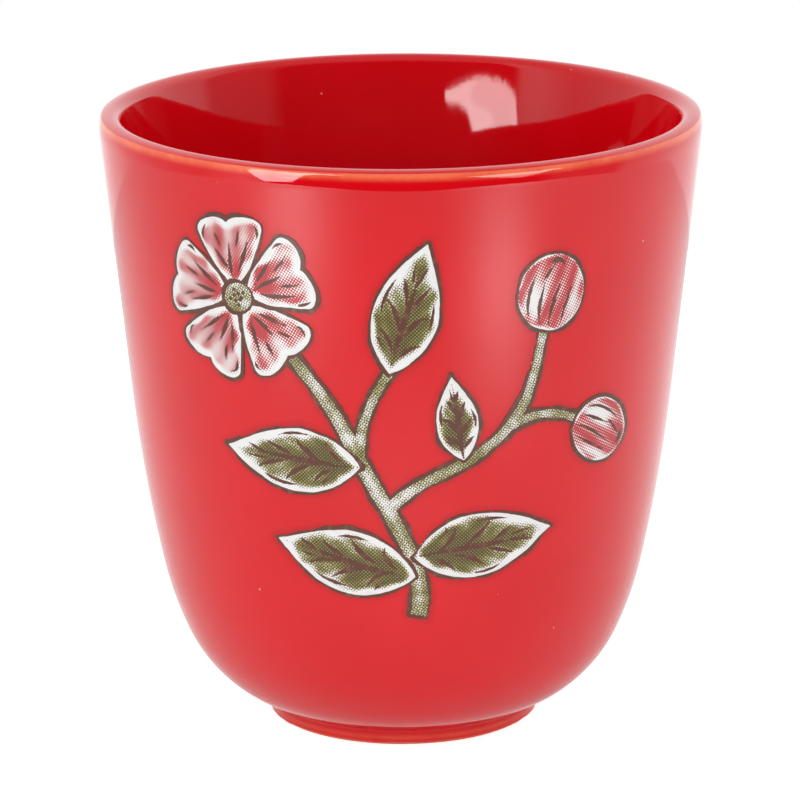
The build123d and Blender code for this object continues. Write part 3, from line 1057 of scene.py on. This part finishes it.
def floor_shader(nodes):
    """White for the camera, a darker patch of painted shade in front, and for the cup's gloss painted pools
    of light.
    """
    x, y, _ = nodes.parts(nodes.object_place())

    def pool(across, back, size):
        """A soft round pool of light, 1 in its middle."""
        ways = [nodes.math("DIVIDE", nodes.math("SUBTRACT", a, b), size) for a, b in ((x, across), (y, back))]
        return nodes.bell(nodes.math("ADD", *(nodes.times(way, way) for way in ways)))

    # The table's colour is darker in a patch in front: painted shade
    *place, share = front_painted_shade
    diffuse = nodes.add("BsdfDiffuse", nodes.times(pool(*place), -share * floor_grey, floor_grey))
    # A painted ring of light round the foot too, for the gloss alone
    radius = nodes.math("SQRT", nodes.math("ADD", nodes.times(x, x), nodes.times(y, y)))
    away = nodes.math("DIVIDE", nodes.math("SUBTRACT", radius, foot_radius), painted_foot_glow_width)
    painted_glow = nodes.times(nodes.bell(nodes.times(away, away)), painted_foot_glow_level, painted_glow_level)
    for *place, level in painted_light_pools:
        painted_glow = nodes.times(pool(*place), level, painted_glow)
    # Painted light: for the gloss alone the table glows, over its pools and round the foot
    path = nodes.new("LightPath").outputs
    shown = nodes.times(path["Is Camera Ray"], floor_white)
    shown = nodes.times(path["Is Glossy Ray"], nodes.math("MAXIMUM", painted_glow, 0.0), shown)
    return nodes.add("AddShader", diffuse, nodes.add("Emission", (1, 1, 1, 1), shown))


def make_floor():
    """A white table with a hollow front edge; the camera sees white beyond it."""
    steps = 240
    turns = np.linspace(-180, 180, steps, endpoint=False)
    far = table_front + (table_side - table_front) * smoothstep(*front_turns, abs(turns))
    far += (table_back - table_side) * smoothstep(*back_turns, abs(turns))
    ring = [(length * sin(turn), -length * cos(turn), 0) for turn, length in zip(turns, far)]
    mesh = bpy.data.meshes.new("floor")
    mesh.from_pydata([(0, 0, 0)] + ring, [], [(0, 1 + i, 1 + (i + 1) % steps) for i in range(steps)])
    mesh.materials.append(new_material("floor", floor_shader))
    add_piece("floor", mesh)


cup_middle = (0, 0, 0.09)
foot_middle = (0, 0, 0.045)


def aim(thing, azimuth, elevation, distance, centre=cup_middle):
    """Puts a lamp or card at a direction from a place, facing it."""
    way = Vector((sin(azimuth) * cos(elevation), -cos(azimuth) * cos(elevation), sin(elevation)))
    thing.location = Vector(centre) + way * distance
    thing.rotation_euler = way.to_track_quat("Z", "Y").to_euler()


lamp_distance = 0.62
lamp_shapes = {
    # azimuth, elevation, width and height in degrees as seen from the cup, share of power
    "left": (-40, 33, 32, 48, 0.98),
    "right": (47, 30, 36, 40, 0.88),
    "left_side": (-100, 26, 30, 30, 0.55),
    "right_side": (96, -3, 30, 18, 0.33),
}
lamp_power = 0.8
fill_size = (0.6, 0.22)
fill_power = 1.68


def make_lamps():
    """Two soft boxes in front, two weak ones at the sides, and a wide, low lamp that lights the foot."""
    for name, (azimuth, elevation, wide, tall, share) in lamp_shapes.items():
        width = 2 * lamp_distance * tan(wide / 2) * cos(elevation)
        height = 2 * lamp_distance * tan(tall / 2)
        make_lamp(name, (width, height), lamp_power * share, azimuth, elevation)
    make_lamp("fill", fill_size, fill_power, 0, 8, foot_middle)


def make_lamp(name, size, power, azimuth, elevation, centre=cup_middle):
    """A lamp that gloss doesn't mirror: the cards stand for it there."""
    data = bpy.data.lights.new(f"lamp_{name}", "AREA")
    data.shape = "RECTANGLE"
    data.size, data.size_y = size
    data.energy = power
    lamp = add_object(f"lamp_{name}", data)
    aim(lamp, azimuth, elevation, lamp_distance, centre)
    lamp.visible_camera = lamp.visible_glossy = False


card_step = 0.5
card_rise = 2.0  # how much brighter a card's bright part is
# The left card's bright part ends at a wavy line, and the right card brightens between two elevations
bend_width, bend_middle, bend_wave, bend_softness = 5.5, 11.8, 7.2, 1.2
right_gain, right_elevations = 2.0, (1.0, 6.0)
# Each card that gloss mirrors: where it is looked at from, its distance and strength, and its outline there
# as azimuths and elevations
cards = {
    "left": ((0.013, 0.038, 0.086), 0.36, 8.3, [
        (-20.1, 13.2), (-27.8, 13.6), (-35.2, 13.6), (-43.3, 13), (-47.6, 12.2), (-50.6, 11.2),
        (-51.6, 9.5), (-52.5, 7.6), (-49, -2), (-46, -8), (-36, -5), (-32.1, 7.6), (-30, 9.8),
        (-25.7, 11), (-21.6, 11.4), (-20.3, 12),
    ]),
    "right": ((0.016, -0.042, 0.092), 0.07, 3.4, [
        (12, 8.8), (40, 8.8), (52, 8.2), (62, 7.7), (72, 7), (61, 5), (52, 0), (45, -2.5), (36, 1),
        (22, 7.5),
    ]),
}


def card_shader(nodes, strength):
    """A glow of uneven edge that is brighter in one part."""
    place = nodes.add("VectorMath", nodes.object_place(), (150, 700, 1), operation="MULTIPLY")
    ripple = nodes.math("SUBTRACT", nodes.noise(place, 1.0, 3.0), 0.5)
    edge = nodes.step(-0.15, 0.35, nodes.times(ripple, 2.4, nodes.attribute("depth")))
    level = nodes.times(edge, nodes.times(nodes.attribute("bright"), card_rise, strength))
    clear = nodes.add("BsdfTransparent", (1, 1, 1, 1))
    return nodes.add("AddShader", nodes.add("Emission", (1, 1, 1, 1), level), clear)


def make_cards():
    """The soft boxes' bright shapes with uneven edges, for mirror reflections alone."""
    for name, (centre, distance, strength, line) in cards.items():
        line = np.array(line)
        low, high = line.min(0) - 2 * card_step, line.max(0) + 2 * card_step
        middle = (low + high) / 2
        lines = [np.arange(a, b + card_step, card_step) for a, b in zip(low, high)]
        x, y = np.meshgrid(*lines, indexing="ij")
        index = np.arange(x.size).reshape(x.shape)
        faces = np.stack([index[:-1, :-1], index[1:, :-1], index[1:, 1:], index[:-1, 1:]], -1).reshape(-1, 4)
        flat = np.stack([x - middle[0], y - middle[1], np.zeros(x.shape)], -1).reshape(-1, 3)
        mesh = bpy.data.meshes.new(f"card_{name}")
        mesh.from_pydata((np.radians(flat) * distance).tolist(), [], faces.tolist())
        add_values(mesh, "depth", -line_distance(x, y, line).ravel())
        bend = middle[0] + bend_width * np.cos(2 * math.pi * (y - bend_middle) / bend_wave)
        bright = smoothstep(-bend_softness, bend_softness, x - bend)
        if name == "right":
            bright = right_gain * smoothstep(*right_elevations, y)
        add_values(mesh, "bright", bright.ravel())
        mesh.materials.append(new_material(mesh.name, card_shader, strength))
        mesh.materials[0].cycles.emission_sampling = "NONE"
        card = add_piece(mesh.name, mesh)
        aim(card, *middle, distance, centre)
        card.visible_camera = card.visible_diffuse = card.visible_shadow = card.visible_transmission = False


make_camera()
make_coats(make_print())
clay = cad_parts["clay_body"]
clay.data.materials.clear()
clay.data.materials.append(materials["clay"])
make_world()
make_floor()
make_lamps()
make_cards()
bpy.context.scene.view_settings.view_transform = "Standard"
